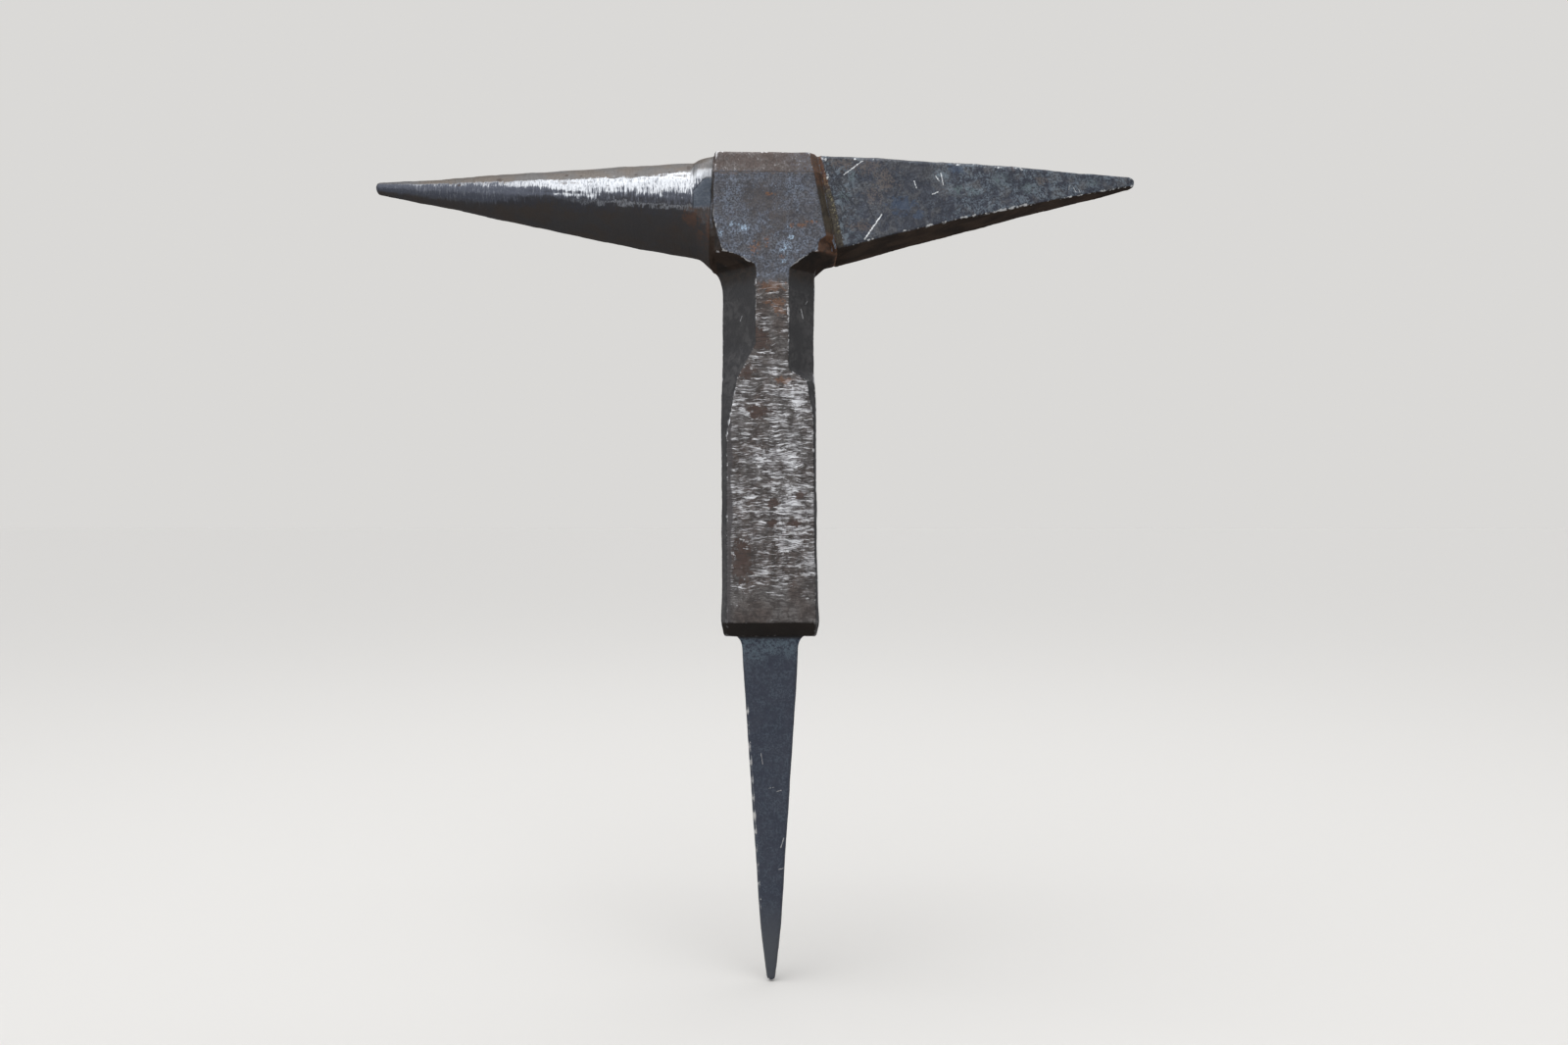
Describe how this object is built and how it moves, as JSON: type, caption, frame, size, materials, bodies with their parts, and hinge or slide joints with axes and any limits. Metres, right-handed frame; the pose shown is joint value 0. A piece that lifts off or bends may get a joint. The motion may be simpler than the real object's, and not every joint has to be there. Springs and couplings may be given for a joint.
{
  "type": "stake anvil",
  "caption": "Hand-forged stake anvil: a round horn and a square horn on a head block, over a chamfered shank with a shoulder and a tapered stake spike.",
  "frame": {"origin": "middle of the shoulder under the shank, where the spike leaves it and the anvil seats on its stump", "axes": "+Z from the shoulder to the working face, +X towards the square horn, the front of the head faces -Y"},
  "size_m": [0.2493, 0.0304, 0.2683],
  "materials": {
    "body_steel": "dark forge-scaled steel with bright crosswise file marks, rust-brown patches and worn edges",
    "face_plate_steel": "brown-grey worn steel with light hammer marks",
    "round_horn_steel": "ground and polished along the top, dark blue-grey scale with crosswise grinding ticks below",
    "square_horn_steel": "mottled blue-black forge scale with scratches and bright worn edges",
    "spike_steel": "smooth slate-blue oxide with thin bright edges"
  },
  "bodies": {
    "root": {"body_forging": "body_steel", "face_plate": "face_plate_steel", "round_horn": "round_horn_steel", "square_horn": "square_horn_steel", "stake_spike": "spike_steel"}
  },
  "joints": []
}
